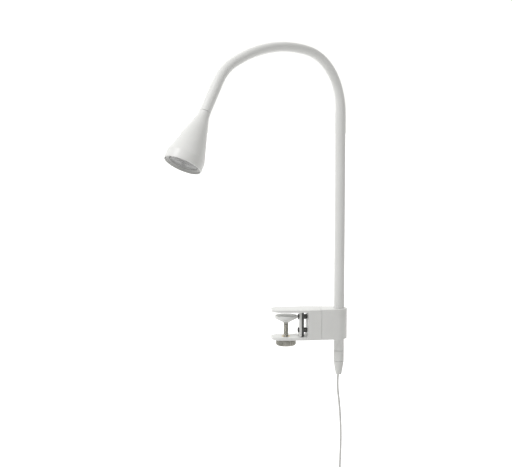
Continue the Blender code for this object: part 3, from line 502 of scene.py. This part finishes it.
def addHalf(name, node, wholeMiddle, wholeSize, look, half):
    points = superShape(wholeMiddle, wholeSize, look["powers"], half=half, groove=look.get("groove"))
    return addPiece(name, points, gridFaces(*points.shape[:2]), "clamp_base", [node], sharp=40)


frontLow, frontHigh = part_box("switch_front_shell")
backLow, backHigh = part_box("switch_back_shell")
switchMiddle, switchSize = middleAndSize(frontLow, backHigh)
switchFront = addHalf("switchFront", "switch_front_shell", switchMiddle, switchSize, switchLook, -1)
switchBack = addHalf("switchBack", "switch_back_shell", switchMiddle, switchSize, switchLook, 1)

buttonLow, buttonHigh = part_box("switch_button")
buttonMiddle, buttonSize = middleAndSize(buttonLow, buttonHigh)
left, right = buttonLow.x - gap, buttonHigh.x + gap
bottom, top = buttonLow.z - gap, buttonHigh.z + gap
recess = softened([(x, z, switchLook["recess"]) for x, z in
                   ((left, bottom), (right, bottom), (right, top), (left, top))])
carve(switchFront, [prism(recess, frontLow.y - 0.002, buttonHigh.y + 0.0012 + gap, "y")])
smoothShade(switchFront.data, 40)
buttonPoints = superShape(buttonMiddle, buttonSize, switchLook["buttonPowers"], rows=33, sides=48)
switchButton = addPiece("switchButton", buttonPoints, gridFaces(*buttonPoints.shape[:2]), "switch_button",
                        ["switch_button"], sharp=60)

frontLow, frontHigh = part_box("driver_front_shell")
backLow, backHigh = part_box("driver_back_shell")
driverMiddle, driverSize = middleAndSize(frontLow, backHigh)
driverFront = addHalf("driverFront", "driver_front_shell", driverMiddle, driverSize, driverLook, -1)
driverBack = addHalf("driverBack", "driver_back_shell", driverMiddle, driverSize, driverLook, 1)


def addDriverRelief():
    # a short cone with flexing grooves
    look = driverReliefLook
    low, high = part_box("driver_strain_relief")
    base, tip = (high.x - low.x) / 2, look["tip"]
    height = high.z - low.z
    corners = [(0, low.z, 0), (base, low.z, 0.0003)]
    for k in range(look["grooves"]):
        start = low.z + height * (look["firstGroove"] + look["grooveStep"] * k)
        radius = base + (tip - base) * (start - low.z) / height
        inner = radius - look["grooveDepth"]
        corners += [(radius, start, 0.0002), (inner, start + 0.0004, 0.0001),
                    (inner, start + 0.0011, 0.0001), (radius - 0.0001, start + 0.0015, 0.0002)]
    corners += [(tip, high.z, 0.0004), (0, high.z, 0)]
    return turned("driverRelief", corners, "clamp_base", ["driver_strain_relief"],
                  upright((low.x + high.x) / 2, 0), sides=48, steps=3)


def addPin(name, node):
    low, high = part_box(node)
    radius = (high.x - low.x) / 2
    corners = [(0, low.z, 0), (radius, low.z, driverLook["pinTip"]), (radius, high.z, 0), (0, high.z, 0)]
    return turned(name, corners, "clamp_base", [node], upright((low.x + high.x) / 2, 0), sides=40)


def addTie():
    # a strap round the wound turns: an outer and an inner rounded rectangle, joined along both edges
    low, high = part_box("cord_tie")
    thick, corner = tieLook["thick"], tieLook["corner"]
    loops = []
    for inset in (0.0, thick):
        left, right, front, back = low.x + inset, high.x - inset, low.y + inset, high.y - inset
        loops.append(softened([(left, front, corner - inset), (right, front, corner - inset),
                               (right, back, corner - inset), (left, back, corner - inset)], 8))
    outer, inner = loops
    rows = [np.c_[loop, np.full(len(loop), z)] for loop, z in
            ((outer, low.z), (outer, high.z), (inner, high.z), (inner, low.z))]
    faces = gridFaces(len(rows), len(outer), wrapRows=True)
    return addPiece("cordTie", np.array(rows), faces, "clamp_base", ["cord_tie"])


driverRelief = addDriverRelief()
pinLeft = addPin("pinLeft", "plug_pin_left")
pinRight = addPin("pinRight", "plug_pin_right")
cordTie = addTie()

pathLength(lampCordPath)
pathLength(supplyPath)
print("cords made: %.3f m and %.3f m" % (pathLength(lampCordPath), pathLength(supplyPath)))


# ---- clamp frame and post holder ----
clampLook = {"edge": 0.0004, "tipRound": 0.0115, "tipHalfDepth": 0.0163, "taperEnd": 0.022,
             "throatEnd": 0.028, "throatHeight": 0.0338, "throatRound": 0.0008, "relief": 0.0003,
             "insertHole": 0.0060, "screwHole": 0.0024,
             "holderEnd": 0.0666, "holderRound": 0.0150, "holderEdge": 0.0009}


def blockHalfDepth(x):
    # half the block's depth, which narrows from the throat to the rounded end
    low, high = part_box("clamp_frame")
    ends = clampLook["throatEnd"], clampLook["holderEnd"]
    return float(np.interp(x, ends, (high.y, clampLook["holderRound"])))


def screwHeights():
    return [sum(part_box(f"stop_screw_{side}")[k].z for k in (0, 1)) / 2 for side in ("upper", "lower")]


def addClampFrame():
    # the outline from above carried up the whole height, with the throat and the holes carved out
    low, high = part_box("clamp_frame")
    seam = blockHalfDepth(high.x)
    tipX, deep, look = low.x, high.y, clampLook
    slope = (deep - look["tipHalfDepth"]) / (look["taperEnd"] - (tipX + look["tipRound"]))
    tipY = look["tipHalfDepth"] - slope * look["tipRound"]
    outline = softened([(high.x, -seam, 0), (high.x, seam, 0), (look["throatEnd"], deep, 0.001),
                        (look["taperEnd"], deep, 0.001), (tipX, tipY, look["tipRound"]),
                        (tipX, -tipY, look["tipRound"]), (look["taperEnd"], -deep, 0.001),
                        (look["throatEnd"], -deep, 0.001)], 16)
    piece = addPiece("clampFrame", *prism(outline, low.z, high.z), "clamp_base", ["clamp_frame"])
    bottom = -look["throatHeight"]
    stopX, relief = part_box("stop_plate")[0].x - look["relief"], look["relief"]
    throat = softened([(tipX - 0.01, 0, 0), (stopX, 0, 0), (stopX, relief, 0),
                       (look["throatEnd"], relief, look["throatRound"]),
                       (look["throatEnd"], bottom - relief, look["throatRound"]), (stopX, bottom - relief, 0),
                       (stopX, bottom, 0), (tipX - 0.01, bottom, 0)], 5)
    cutters = [prism(throat, -0.03, 0.03, "y"),
               prism(circle(0, 0, look["insertHole"]), low.z - 0.002, bottom + 0.002)]
    for height in screwHeights():
        cutters.append(prism(circle(0, height, look["screwHole"], 24), look["throatEnd"] - 0.002,
                             high.x + 0.002, "x"))
    carve(piece, cutters)
    return roundEdges(piece, look["edge"])


def addPostHolder():
    # the block behind the seam: straight sides into a half-round end, with the post's hole
    low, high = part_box("post_holder")
    look = clampLook
    angle = np.linspace(-pi / 2, pi / 2, 49)
    end = np.c_[look["holderEnd"] + look["holderRound"] * np.cos(angle), look["holderRound"] * np.sin(angle)]
    start = blockHalfDepth(low.x)
    outline = np.concatenate([[(low.x, start), (low.x, -start)], end])
    piece = addPiece("postHolder", *prism(outline, low.z, high.z), "clamp_base", ["post_holder"])
    tubeLow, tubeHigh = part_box("lower_tube")
    postX, radius = (tubeLow.x + tubeHigh.x) / 2, (tubeHigh.x - tubeLow.x) / 2 + gap
    setLow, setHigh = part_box("post_set_screw")
    setHeight, setRadius = (setLow.z + setHigh.z) / 2, (setHigh.x - setLow.x) / 2 + 0.0004
    carve(piece, [prism(circle(postX, 0, radius, 64), low.z - 0.002, high.z + 0.002),
                  prism(circle(postX, setHeight, setRadius, 24), radius - 0.002, high.y + 0.002, "y")])
    return roundEdges(piece, look["holderEdge"])


addClampFrame()
addPostHolder()


# ---- stop plate, its screws and spacers ----
stopLook = {"edge": 0.0004, "headRound": 0.0007, "socket": 0.0013, "socketDepth": 0.0009, "shank": 0.0020}


def addStopPlate(name, node):
    # the white plate and its dark backing are both flat bars with two holes; the backing's dark colour is
    # painted shadow, filling the shaded gap behind the plate
    low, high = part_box(node)
    outline = softened([(low.y, low.z, 0.001), (high.y, low.z, 0.001), (high.y, high.z, 0.001),
                        (low.y, high.z, 0.001)])
    piece = addPiece(name, *prism(outline, low.x, high.x, "x"), "clamp_base", [node])
    carve(piece, [prism(circle(0, height, clampLook["screwHole"], 32), low.x - 0.002, high.x + 0.002, "x")
                  for height in screwHeights()])
    return roundEdges(piece, stopLook["edge"])


def sideways(height):
    # a frame along +X at this height
    return np.array((0.0, 0.0, height)), np.array(((0.0, 1.0, 0.0), (0.0, 0.0, 1.0), (1.0, 0.0, 0.0)))


def addStopScrews():
    look, hole = stopLook, clampLook["screwHole"]
    for side, height in zip(("upper", "lower"), screwHeights()):
        low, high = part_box(f"stop_screw_{side}")
        headRadius = (high.y - low.y) / 2
        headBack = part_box("stop_plate")[0].x - gap
        corners = [(0, high.x, 0), (look["shank"], high.x, 0.0004), (look["shank"], headBack, 0),
                   (headRadius, headBack, 0.0001), (headRadius, low.x, look["headRound"]),
                   (look["socket"], low.x, 0.0001), (look["socket"], low.x + look["socketDepth"], 0),
                   (0, low.x + look["socketDepth"], 0)]
        turned("stopScrew" + side.title(), corners, "clamp_base", [f"stop_screw_{side}"],
               sideways(height), 36)
        low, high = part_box(f"stop_spacer_{side}")
        radius = (high.y - low.y) / 2
        corners = [(hole, low.x, 0.0001), (hole, high.x, 0.0001), (radius, high.x, 0.0004),
                   (radius, low.x, 0.0004)]
        turned("stopSpacer" + side.title(), corners, "clamp_base", [f"stop_spacer_{side}"],
               sideways(height), 40, ring=True)


addStopPlate("stopPlate", "stop_plate")
# the dark backing is painted shadow: a dark bar put in the shaded gap behind the stop plate
addStopPlate("stopBacking", "stop_backing")
addStopScrews()
print("clamp body made")


# ---- pressure pad, threaded rod and knob ----
screwLook = {"padRim": 0.0036, "hub": 0.0052, "pocket": 0.0033, "pocketDepth": 0.0060, "tip": 0.0029,
             "pitch": 0.0015, "threadDepth": 0.00062, "notches": 24, "notchDepth": 0.0006, "floor": 0.0020,
             "dish": 0.0008, "slotLength": 0.0120, "slotWidth": 0.0022, "slotDepth": 0.0004,
             "insertBore": 0.0039}
clampAxis = upright(0, 0)


def addPressurePad():
    low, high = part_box("pressure_pad")
    look, radius = screwLook, (high.x - low.x) / 2
    rim, pocketTop = high.z - look["padRim"], low.z + look["pocketDepth"]
    corners = [(0, high.z, 0), (radius, high.z, 0.0009), (radius, rim, 0.0010), (look["hub"], low.z, 0.0010),
               (look["pocket"], low.z, 0.0003), (look["pocket"], pocketTop, 0), (0, pocketTop, 0)]
    return turned("pressurePad", corners, "pressure_pad", ["pressure_pad"], clampAxis, sides=96)


def addClampRod():
    # the thread is a right-hand groove: its depth follows height over pitch less angle over a full turn
    low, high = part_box("clamp_rod")
    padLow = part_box("pressure_pad")[0].z
    look, radius = screwLook, (high.x - low.x) / 2
    shoulder = padLow - 0.0004
    threadStart, threadEnd = shoulder - 0.0015, low.z + 0.0004
    heights = np.r_[shoulder, np.arange(threadStart, threadEnd, -look["pitch"] / 9), low.z]
    outline = np.concatenate([[(0, high.z), (look["tip"] - 0.0005, high.z), (look["tip"], high.z - 0.0005),
                               (look["tip"], shoulder)],
                              np.c_[np.full(len(heights), radius), heights], [(0, low.z)]])

    def thread(ringRadius, height, angle):
        saw = np.abs((height / look["pitch"] - angle / (2 * pi)) % 1 * 2 - 1)
        cutIn = smoothStep(height, threadStart + 0.0001, threadStart - 0.0012)
        return np.where(ringRadius > radius - 1e-6, -look["threadDepth"] * (1 - saw) * cutIn, 0)

    points = turnedPoints(outline, 40, clampAxis, thread)
    return addPiece("clampRod", points, gridFaces(len(outline), 40), "clamp_screw", ["clamp_rod"], sharp=50)


def addClampKnob():
    # notches round the rim: their depth follows a raised cosine of the angle
    low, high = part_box("clamp_knob")
    rodLow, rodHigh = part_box("clamp_rod")
    look, radius = screwLook, (high.x - low.x) / 2
    bore, floor = (rodHigh.x - rodLow.x) / 2 + gap, low.z + look["floor"] - gap
    corners = [(0, floor, 0), (bore, floor, 0), (bore, high.z, 0.0002), (radius * 0.93, high.z, 0.0006),
               (radius, high.z - 0.0012, 0.0008), (radius, low.z + 0.0016, 0.0012),
               (radius * 0.90, low.z, 0.0010), (radius * 0.62, low.z, 0.0003),
               (radius * 0.58, low.z + look["dish"], 0.0003), (0, low.z + look["dish"], 0)]

    def notch(ringRadius, height, angle):
        wave = (0.5 + 0.5 * np.cos(angle * look["notches"])) ** 3
        return -look["notchDepth"] * wave * smoothStep(ringRadius, radius * 0.90, radius * 0.985)

    knob = turned("clampKnob", corners, "clamp_screw", ["clamp_knob"], clampAxis,
                  sides=look["notches"] * 12, steps=5, ripple=notch, sharp=40)
    half, width = look["slotLength"] / 2, look["slotWidth"] / 2
    slot = softened([(-half, -width, width * 0.9), (half, -width, width * 0.9), (half, width, width * 0.9),
                     (-half, width, width * 0.9)])
    carve(knob, [prism(slot, low.z - 0.001, low.z + look["dish"] + look["slotDepth"])])
    smoothShade(knob.data, 40)
    return knob


def addThreadInsert():
    low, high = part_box("thread_insert")
    radius, bore = (high.x - low.x) / 2, screwLook["insertBore"]
    corners = [(bore, high.z, 0.0004), (bore, low.z, 0.0004), (radius, low.z, 0.0003),
               (radius, high.z, 0.0003)]
    return turned("threadInsert", corners, "clamp_base", ["thread_insert"], clampAxis, ring=True, steps=3)


addPressurePad()
addClampRod()
addClampKnob()
addThreadInsert()
print("clamp screw made")


# ---- tube, connector and strain relief under the block ----
tubeLook = {"bore": 0.0053, "edge": 0.0004, "pin": 0.0026, "shoulder": 0.0064, "shoulderDrop": 0.0040,
            "tip": 0.0040, "mouth": 0.0026, "mouthDepth": 0.0016}
tubeLow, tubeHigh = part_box("lower_tube")
postX = (tubeLow.x + tubeHigh.x) / 2
postAxis = upright(postX, 0)


def addLowerTube():
    radius, look = (tubeHigh.x - tubeLow.x) / 2, tubeLook
    corners = [(look["bore"], tubeHigh.z, 0), (look["bore"], tubeLow.z, 0.0002),
               (radius, tubeLow.z, look["edge"]), (radius, tubeHigh.z, 0)]
    return turned("lowerTube", corners, "clamp_base", ["lower_tube"], postAxis, ring=True, sides=80)


def addConnector():
    low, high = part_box("connector_barrel")
    radius, look = (high.x - low.x) / 2, tubeLook
    face = tubeLow.z - gap
    corners = [(0, high.z, 0), (look["pin"], high.z, 0.0004), (look["pin"], face, 0),
               (radius, face, look["edge"]), (radius, low.z, look["edge"]), (0, low.z, 0)]
    return turned("connectorBarrel", corners, "clamp_base", ["connector_barrel"], postAxis, sides=80)


def addStrainRelief():
    low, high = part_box("strain_relief")
    radius, look = (high.x - low.x) / 2, tubeLook
    shoulderHeight, mouthEnd = high.z - look["shoulderDrop"], low.z + look["mouthDepth"]
    corners = [(0, high.z, 0), (radius, high.z, 0.0003), (look["shoulder"], shoulderHeight, 0.004),
               (look["tip"], low.z, 0.0006), (look["mouth"], low.z, 0.0004), (look["mouth"], mouthEnd, 0),
               (0, mouthEnd, 0)]
    return turned("strainRelief", corners, "clamp_base", ["strain_relief"], postAxis, sides=80)


addLowerTube()
addConnector()
addStrainRelief()
print("connector made")


# ---- flexible neck ----
neckLook = {"stretches": ((0.2610, 0.0), (0.1050, 78.5), (0.1360, 38.5), (0.0340, 32.5), (0.0400, 0.0)),
            "links": (4, 4, 3, 2, 1), "baseLength": 0.0300, "seat": 0.0050, "armTurn": 40.0, "radius": 0.0070,
            "bendRadius": 0.0060, "endRadius": 0.0064, "sides": 56, "spacing": 0.0018}
neckLength = sum(length for length, turn in neckLook["stretches"])
neckStart = np.array((postX, 0.0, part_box("post_holder")[1].z))
armDirection = np.array((-cos(radians(neckLook["armTurn"])), -sin(radians(neckLook["armTurn"])), 0.0))
upDirection = np.array((0.0, 0.0, 1.0))


def neckLine(station):
    # position, direction and inward side along the neck: straight runs and arcs, one after the other
    station = np.atleast_1d(np.asarray(station, float))
    out, up, lean, start = np.zeros_like(station), np.minimum(station, 0), np.zeros_like(station), 0.0
    for length, turn in neckLook["stretches"]:
        step = np.clip(station - start, 0, length)
        if turn:
            radius = length / radians(turn)
            bend = step / radius
            out = out + radius * (np.cos(lean) - np.cos(lean + bend))
            up = up + radius * (np.sin(lean + bend) - np.sin(lean))
            lean = lean + bend
        else:
            out = out + step * np.sin(lean)
            up = up + step * np.cos(lean)
        start += length
    place = neckStart + out[:, None] * armDirection + up[:, None] * upDirection
    tangent = np.sin(lean)[:, None] * armDirection + np.cos(lean)[:, None] * upDirection
    side = np.cos(lean)[:, None] * armDirection - np.sin(lean)[:, None] * upDirection
    return place, tangent, side


def neckRadius(station):
    # full on the post, stretched thin round the bend and fuller again at the head
    look, bendStart = neckLook, neckLook["stretches"][0][0]
    thin = smoothStep(station, bendStart - 0.015, bendStart + 0.030)
    full = smoothStep(station, neckLength - 0.075, neckLength - 0.015)
    narrowed = look["radius"] + (look["bendRadius"] - look["radius"]) * thin
    return narrowed + (look["endRadius"] - look["bendRadius"]) * full


def linkStations():
    stations, start = [neckLook["baseLength"]], 0.0
    for (length, turn), count in zip(neckLook["stretches"], neckLook["links"]):
        first = stations[-1]
        stations += [first + (start + length - first) * k / count for k in range(1, count + 1)]
        start += length
    return stations


def sleeve(start, end):
    # rings square to the neck's line, from one station to another
    station = np.linspace(start, end, round((end - start) / neckLook["spacing"]) + 1)
    place, tangent, side = neckLine(station)
    across = np.cross(tangent, side)
    angle = (np.arange(neckLook["sides"]) * 2 * pi / neckLook["sides"])[None, :, None]
    spread = np.cos(angle) * side[:, None] + np.sin(angle) * across[:, None]
    return capped(place[:, None] + neckRadius(station)[:, None, None] * spread)


def addSleeve(name, start, end, body, node, rides=True):
    rings = sleeve(start, end)
    faces = gridFaces(len(rings), neckLook["sides"])
    return addPiece(name, rings, faces, body, [node], sharp=45, rides=rides)


def addNeck():
    # each sleeve piece runs from the middle of one link to the middle of the next
    stations = linkStations()
    middles = [stations[0] / 2] + [(a + b) / 2 for a, b in zip(stations, stations[1:])]
    count = len(stations) - 1
    addSleeve("neckBase", -neckLook["seat"] + gap, middles[0], "clamp_base", "neck_base")
    for k in range(1, count + 1):
        start, end = middles[k - 1], middles[k]
        piece = addSleeve(f"neckSleeve{k:02d}", start, end, None, f"neck_link_{k:02d}", rides=False)
        ends = neckLine([start, end])[0]
        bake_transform(piece)
    addSleeve("neckEnd", middles[-1], neckLength - gap, "lamp_head", f"neck_link_{count:02d}")


addNeck()
print("neck made")


# ---- head ----
headLook = {"length": 0.0710, "radius": 0.0234, "band": 0.0109, "collar": 0.0067, "coneStart": 0.0105,
            "coneStartRadius": 0.0082, "wall": 0.0015, "cavityStart": 0.0180, "lensRecess": 0.0030,
            "lensThickness": 0.0024, "lensRadius": 0.0172, "stud": 0.0051, "edge": 0.0005, "chamfer": 0.0002,
            "ringSetback": 0.0012, "sides": 128}
lensLook = {"rim": 0.0008, "dome": 0.0009, "stepHeight": 0.00006, "stepWidth": 0.0011, "edge": 0.0004}
opticLook = {"depth": 0.0050, "frontRadius": 0.0150, "backRadius": 0.0055, "edge": 0.0002, "flutes": 24,
             "fluteDepth": 0.0003}
headPlace, headTangent, headSide = (part[0] for part in neckLine(neckLength))
headAxis = (headPlace, np.array((headSide, np.cross(headTangent, headSide), headTangent)))
bandStart = headLook["length"] - headLook["band"]
lensFace = headLook["length"] - headLook["lensRecess"]
lensBack = lensFace - headLook["lensThickness"]
opticBack = lensBack - gap - opticLook["depth"]


def shadeRadius(height):
    # a collar that flares in a parabola into a straight cone, then a straight band
    look, height = headLook, np.asarray(height, float)
    slope = (look["radius"] - look["coneStartRadius"]) / (bandStart - look["coneStart"])
    middle = look["coneStart"] - (look["coneStartRadius"] - look["collar"]) / slope
    spare = look["coneStart"] - 2 * middle
    share = (np.sqrt(np.maximum(middle**2 + spare * height, 0)) - middle) / spare
    flare = look["collar"] + (look["coneStartRadius"] - look["collar"]) * share**2
    cone = look["coneStartRadius"] + slope * (height - look["coneStart"])
    return np.where(height < look["coneStart"], flare, np.minimum(cone, look["radius"]))


def addShade():
    look = headLook
    radius, length, edge, wall = look["radius"], look["length"], look["edge"], look["wall"]
    heights = np.r_[np.linspace(gap, look["coneStart"], 16),
                    np.linspace(look["coneStart"], bandStart, 26)[1:],
                    np.linspace(bandStart, length - edge, 8)[1:]]
    outside = np.c_[shadeRadius(heights), heights]
    quarter = np.linspace(0, pi / 2, 6)[1:]
    lip = np.c_[radius - edge * (1 - np.cos(quarter)), length - edge * (1 - np.sin(quarter))]
    inside = [(radius - wall + look["chamfer"], length), (radius - wall, length - look["chamfer"])]
    back = np.linspace(bandStart, look["cavityStart"], 14)
    bore = [(look["stud"], look["cavityStart"]), (look["stud"], gap)]
    outline = np.concatenate([outside, lip, inside, np.c_[shadeRadius(back) - wall, back], bore])
    points = turnedPoints(outline, look["sides"], headAxis)
    return addPiece("headShade", points, gridFaces(len(outline), look["sides"], wrapRows=True), "lamp_head",
                    ["head_shade"], sharp=12)


def addLensRing():
    # fills the shade's mouth round the lens
    look = headLook
    bore = look["lensRadius"] + gap
    backRadius, frontRadius = shadeRadius([opticBack, look["length"]]) - look["wall"] - gap
    corners = [(bore, opticBack, 0), (backRadius, opticBack, 0),
               (frontRadius, look["length"] - look["ringSetback"], 0.0005), (bore, lensFace, 0.0005)]
    return turned("lensRing", corners, "lamp_head", ["lens_ring"], headAxis, look["sides"], ring=True)


def addLens():
    # a low dome with fine concentric steps: height falls with radius squared, plus a small cosine
    look, radius = lensLook, headLook["lensRadius"]
    across = np.linspace(radius - look["rim"], 0, 72)
    share = across / radius
    dome = look["dome"] * (1 - share**2)
    steps = look["stepHeight"] * np.cos(across * 2 * pi / look["stepWidth"])
    edge = [(0, lensBack), (radius, lensBack), (radius, lensFace - look["edge"]),
            (radius - look["edge"], lensFace)]
    outline = np.concatenate([edge, np.c_[across, lensFace + dome + steps]])
    points = turnedPoints(outline, 96, headAxis)
    return addPiece("lens", points, gridFaces(len(outline), 96), "lamp_head", ["lens"], sharp=40)


def addOptic():
    # a fluted cone that gathers the light: its side waves in and out round the axis
    look, front = opticLook, lensBack - gap
    corners = [(0, front, 0), (look["frontRadius"], front, look["edge"]),
               (look["backRadius"], opticBack, look["edge"]), (0, opticBack, 0)]

    def flutes(ringRadius, height, angle):
        wave = 0.5 + 0.5 * np.cos(angle * look["flutes"])
        return -look["fluteDepth"] * wave * (ringRadius > 0.001)

    return turned("optic", corners, "lamp_head", ["optic"], headAxis, sides=144, ripple=flutes)


addShade()
addLensRing()
addLens()
addOptic()
print("head made")


# ---- carried-over pieces ----
for nodeName, node in frame["nodes"].items():
    node.data.materials.clear()
    node.data.materials.append(finishes[slotOf[nodeName]])


# ---- floor and light ----
stageLook = {"floorHeight": -0.80, "floorSize": 40.0, "glow": 1.0,
             "worldFront": 0.33, "worldBack": 1.05, "worldTop": 0.30,
             "key": {"place": (-1.6, -0.9, 1.7), "size": 0.9, "power": 24.0}}


def addFloor():
    # a wide plain floor, which glows far behind the lamp and matches the studio walls there
    half = stageLook["floorSize"]
    z = stageLook["floorHeight"]
    corners = [(-half, -half, z), (half, -half, z), (half, half, z), (-half, half, z)]
    mesh = bpy.data.meshes.new("floor")
    mesh.from_pydata(corners, [], [(0, 1, 2, 3)])
    floor = bpy.data.objects.new("floor", mesh)
    bpy.context.scene.collection.objects.link(floor)
    made = bpy.data.materials.new("paleFloor")
    made.use_nodes = True
    tree = made.node_tree
    shader = tree.nodes["Principled BSDF"]
    wire = Wire(tree)
    place = wire.node("TexCoord", out="Object")
    away = wire.node("VectorMath", {"operation": "LENGTH"}, {0: place}, "Value")
    direction = wire.node("VectorMath", {"operation": "NORMALIZE"}, {0: place})
    depth = wire.node("SeparateXYZ", {}, {0: direction}, "Y")
    behind = wire.node("MapRange", {"interpolation_type": "SMOOTHSTEP"}, {"Value": depth, 1: 0.2, 2: 0.8})
    far = wire.node("MapRange", {"interpolation_type": "SMOOTHSTEP"}, {"Value": away, 1: 0.3, 2: 1.5})
    glow = behind * far * stageLook["glow"]
    colour = wire.node("CombineColor", {}, {0: glow, 1: glow, 2: glow})
    tree.links.new(colour.socket, shader.inputs["Emission Color"])
    shader.inputs["Emission Strength"].default_value = 1.0
    shader.inputs["Base Color"].default_value = (0.82, 0.82, 0.82, 1.0)
    shader.inputs["Roughness"].default_value = 0.9
    mesh.materials.append(made)


def addWorld():
    # plain studio walls: pale all round and brightest behind the lamp
    world = bpy.data.worlds.new("studio")
    world.use_nodes = True
    tree = world.node_tree
    wire = Wire(tree)
    direction = wire.node("TexCoord", out="Generated")
    depth = wire.node("SeparateXYZ", {}, {0: direction}, "Y")
    height = wire.node("SeparateXYZ", {}, {0: direction}, "Z")
    behind = wire.node("MapRange", {"interpolation_type": "SMOOTHSTEP"}, {"Value": depth, 1: 0.0, 2: 0.85})
    above = wire.node("MapRange", {"interpolation_type": "SMOOTHSTEP"}, {"Value": height, 1: 0.1, 2: 0.9})
    strength = stageLook["worldFront"] + behind * (stageLook["worldBack"] - stageLook["worldFront"])
    strength = strength + above * stageLook["worldTop"]
    background = tree.nodes["Background"]
    background.inputs["Color"].default_value = (1.0, 1.0, 0.975, 1.0)
    tree.links.new(strength.socket, background.inputs["Strength"])
    bpy.context.scene.world = world


def addKeyLight():
    key = stageLook["key"]
    data = bpy.data.lights.new("key", "AREA")
    data.shape, data.size, data.energy = "DISK", key["size"], key["power"]
    light = bpy.data.objects.new("key", data)
    light.location = key["place"]
    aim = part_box("post_holder")[1] - light.location
    light.rotation_euler = aim.to_track_quat("-Z", "Y").to_euler()
    bpy.context.scene.collection.objects.link(light)


addFloor()
addWorld()
addKeyLight()
bpy.context.scene.view_settings.view_transform = "Standard"
print("stage made")
